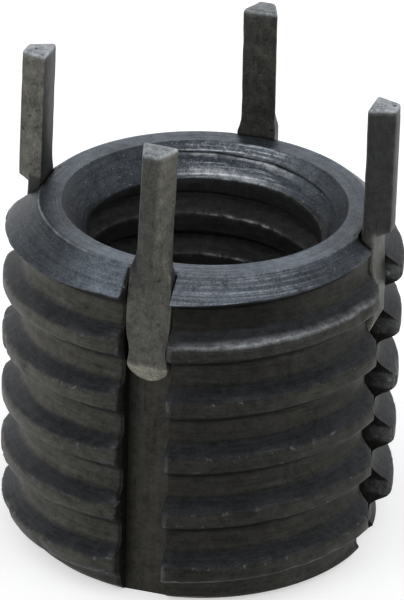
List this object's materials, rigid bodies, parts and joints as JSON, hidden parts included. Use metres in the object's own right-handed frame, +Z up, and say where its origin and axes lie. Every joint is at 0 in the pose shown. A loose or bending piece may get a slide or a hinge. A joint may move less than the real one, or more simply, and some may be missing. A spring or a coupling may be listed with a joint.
{
  "type": "key-locking threaded insert",
  "caption": "Steel insert threaded outside and tapped inside; keys standing in slots through the outer thread are driven down to lock it in a hole.",
  "frame": {"origin": "centre of the sleeve's flat bottom end, on the axis of the bore", "axes": "+Z up along the axis of the bore, towards the keys; the first key stands 73.5 degrees round from +X"},
  "size_m": [0.0138, 0.0138, 0.0172],
  "materials": {
    "sleeve_black": "black oxide, satin, turned",
    "key_steel": "dark drawn steel, satin"
  },
  "bodies": {
    "sleeve": {"sleeve": "sleeve_black"},
    "key_1": {"locking_key_1": "key_steel"},
    "key_2": {"locking_key_2": "key_steel"},
    "key_3": {"locking_key_3": "key_steel"},
    "key_4": {"locking_key_4": "key_steel"}
  },
  "joints": [
    {"name": "key_1_drive", "type": "slide", "parent": "sleeve", "child": "key_1", "axis": [0, 0, -1], "range_m": [0, 0.00478]},
    {"name": "key_2_drive", "type": "slide", "parent": "sleeve", "child": "key_2", "axis": [0, 0, -1], "range_m": [0, 0.00478]},
    {"name": "key_3_drive", "type": "slide", "parent": "sleeve", "child": "key_3", "axis": [0, 0, -1], "range_m": [0, 0.00478]},
    {"name": "key_4_drive", "type": "slide", "parent": "sleeve", "child": "key_4", "axis": [0, 0, -1], "range_m": [0, 0.00478]}
  ]
}
